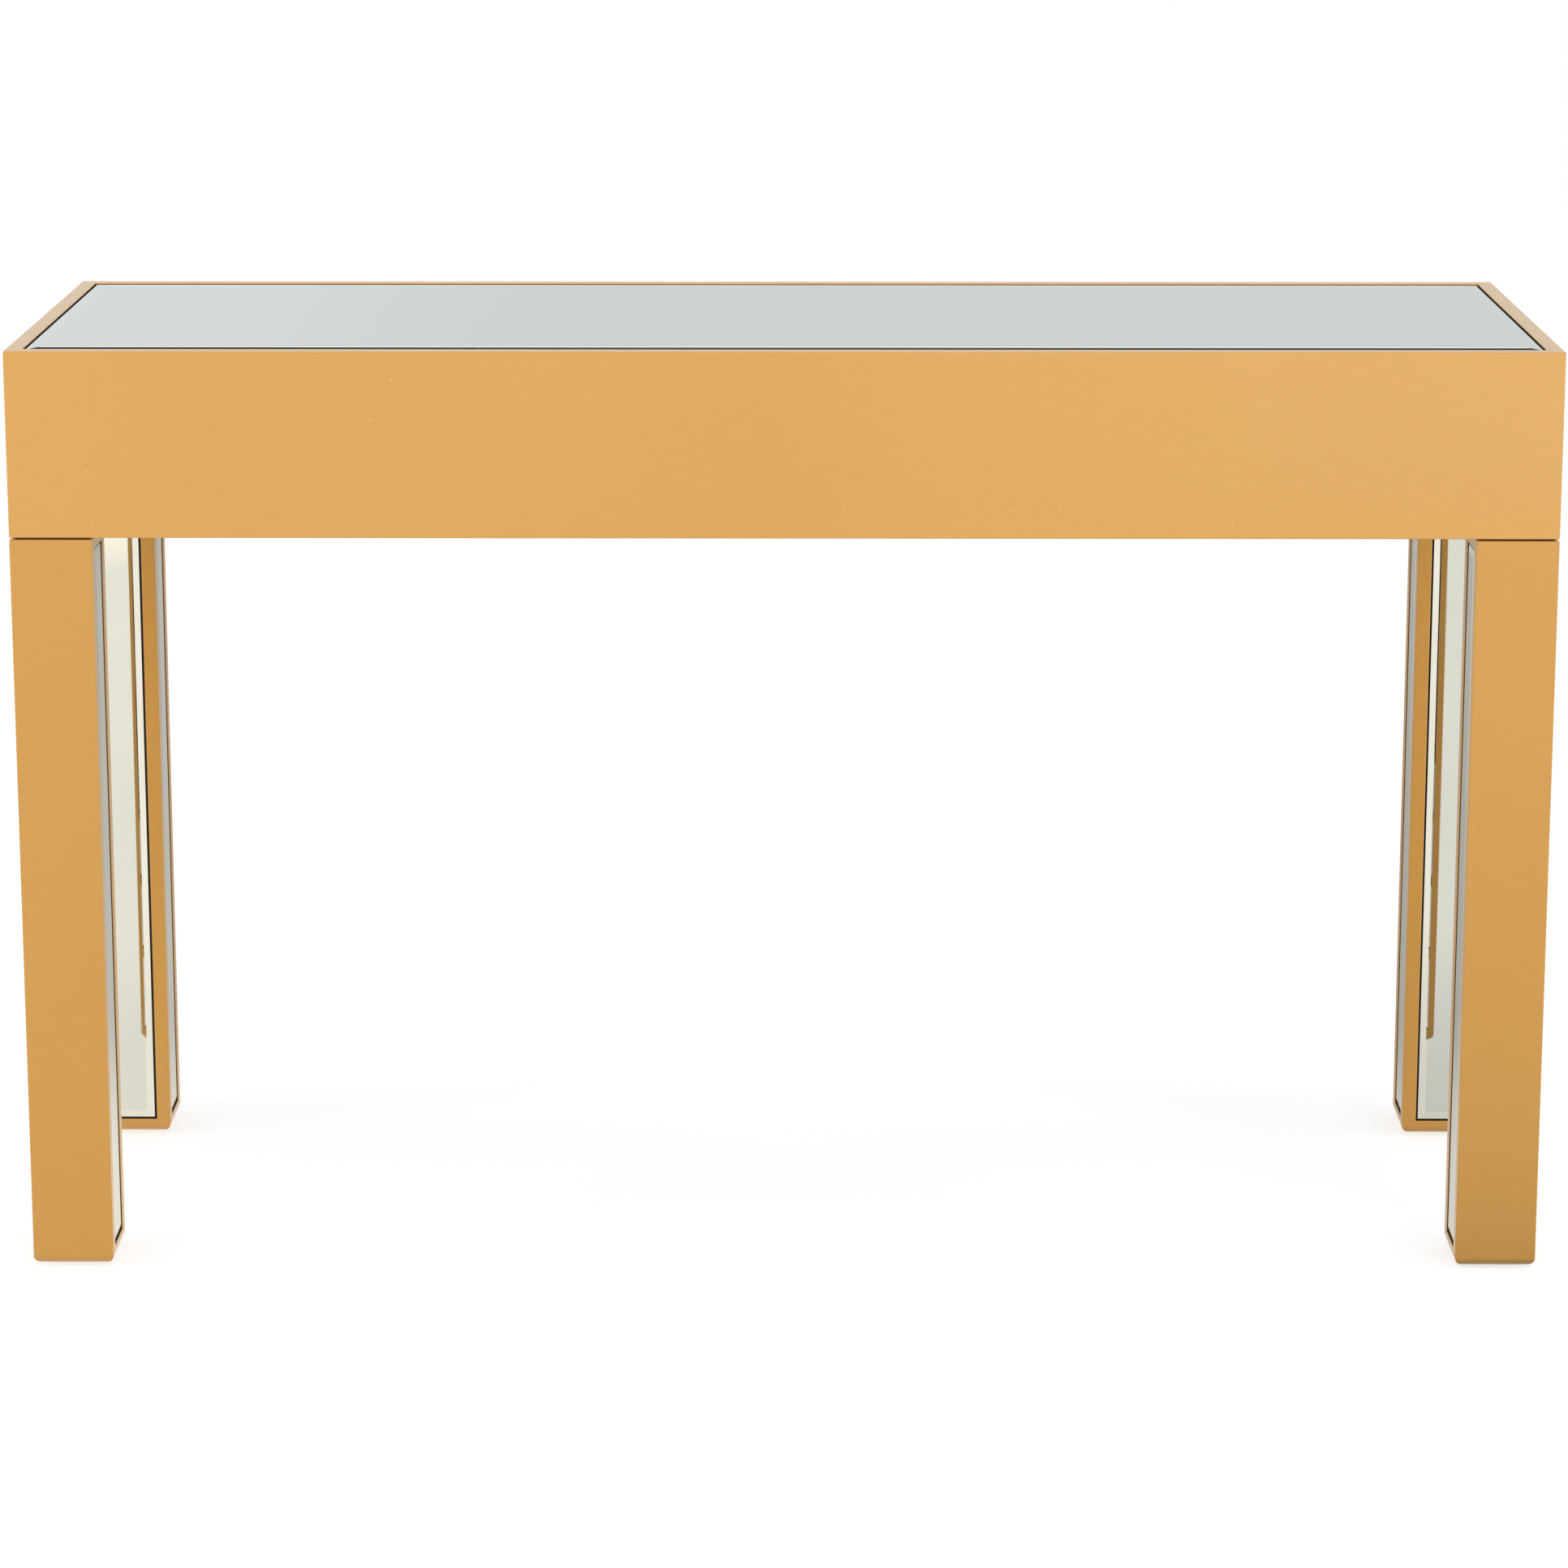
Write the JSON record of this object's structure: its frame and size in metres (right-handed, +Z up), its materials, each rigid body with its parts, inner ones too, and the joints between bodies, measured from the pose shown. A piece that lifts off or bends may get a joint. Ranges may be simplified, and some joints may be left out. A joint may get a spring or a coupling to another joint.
{
  "type": "vanity table with mirror",
  "caption": "Rectangular vanity table with a bevelled mirror top, mirrored square legs in gold frames, a plain back, and side-by-side mirrored drawers with crystal knobs.",
  "frame": {"origin": "on the floor, at the middle of the footprint of the whole table, its knobs included", "axes": "+Z up, +X along the table's width to the right of someone facing the drawers, -Y out of the drawer side, +Y out of the plain back"},
  "size_m": [1.2, 0.428, 0.74],
  "materials": {
    "gold_paint": "satin gold-coloured paint over fibreboard, with a faint fine grain",
    "mirror_glass": "bevelled plate mirror",
    "drawer_wood": "clear-sealed pale plywood",
    "slide_steel": "bright zinc-plated",
    "zinc_steel": "zinc-plated",
    "brass": "polished",
    "crystal": "clear cut crystal",
    "nylon": "matt dark nylon"
  },
  "bodies": {
    "table": {"back_panel": "gold_paint", "left_side_panel": "gold_paint", "right_side_panel": "gold_paint", "front_top_rail": "gold_paint", "front_bottom_rail": "gold_paint", "centre_partition": "gold_paint", "top_deck": "drawer_wood", "top_mirror": "mirror_glass", "bottom_panel": "drawer_wood", "left_side_mirror": "mirror_glass", "right_side_mirror": "mirror_glass", "deck_battens": "drawer_wood", "front_left_leg": "gold_paint", "front_right_leg": "gold_paint", "rear_left_leg": "gold_paint", "rear_right_leg": "gold_paint", "front_left_leg_mirrors": "mirror_glass", "front_right_leg_mirrors": "mirror_glass", "rear_left_leg_mirrors": "mirror_glass", "rear_right_leg_mirrors": "mirror_glass", "leg_plates": "zinc_steel", "leg_bolts": "zinc_steel", "leg_washers": "zinc_steel", "leg_inserts": "brass", "plate_screws": "zinc_steel", "leg_glides": "nylon", "left_case_rails": "slide_steel", "right_case_rails": "slide_steel", "case_rail_screws": "zinc_steel"},
    "left_drawer": {"left_drawer_face": "gold_paint", "left_drawer_mirror": "mirror_glass", "left_drawer_inner_front": "drawer_wood", "left_drawer_left_side": "drawer_wood", "left_drawer_right_side": "drawer_wood", "left_drawer_back": "drawer_wood", "left_drawer_bottom": "drawer_wood", "left_drawer_knob": "crystal", "left_drawer_knob_base": "brass", "left_drawer_knob_screw": "zinc_steel", "left_drawer_rails": "slide_steel", "left_drawer_rail_screws": "zinc_steel", "left_drawer_face_screws": "zinc_steel"},
    "right_drawer": {"right_drawer_face": "gold_paint", "right_drawer_mirror": "mirror_glass", "right_drawer_inner_front": "drawer_wood", "right_drawer_left_side": "drawer_wood", "right_drawer_right_side": "drawer_wood", "right_drawer_back": "drawer_wood", "right_drawer_bottom": "drawer_wood", "right_drawer_knob": "crystal", "right_drawer_knob_base": "brass", "right_drawer_knob_screw": "zinc_steel", "right_drawer_rails": "slide_steel", "right_drawer_rail_screws": "zinc_steel", "right_drawer_face_screws": "zinc_steel"},
    "left_cages": {"left_ball_cages": "slide_steel"},
    "right_cages": {"right_ball_cages": "slide_steel"}
  },
  "joints": [
    {"name": "left_drawer_slide", "type": "slide", "parent": "table", "child": "left_drawer", "axis": [0, -1, 0], "range_m": [0, 0.225]},
    {"name": "left_cage_slide", "type": "slide", "parent": "table", "child": "left_cages", "axis": [0, -1, 0], "range_m": [0, 0.1125]},
    {"name": "right_drawer_slide", "type": "slide", "parent": "table", "child": "right_drawer", "axis": [0, -1, 0], "range_m": [0, 0.225]},
    {"name": "right_cage_slide", "type": "slide", "parent": "table", "child": "right_cages", "axis": [0, -1, 0], "range_m": [0, 0.1125]}
  ],
  "couplings": [
    {"joint": "left_cage_slide", "follows": "left_drawer_slide", "ratio": 0.5},
    {"joint": "right_cage_slide", "follows": "right_drawer_slide", "ratio": 0.5}
  ]
}
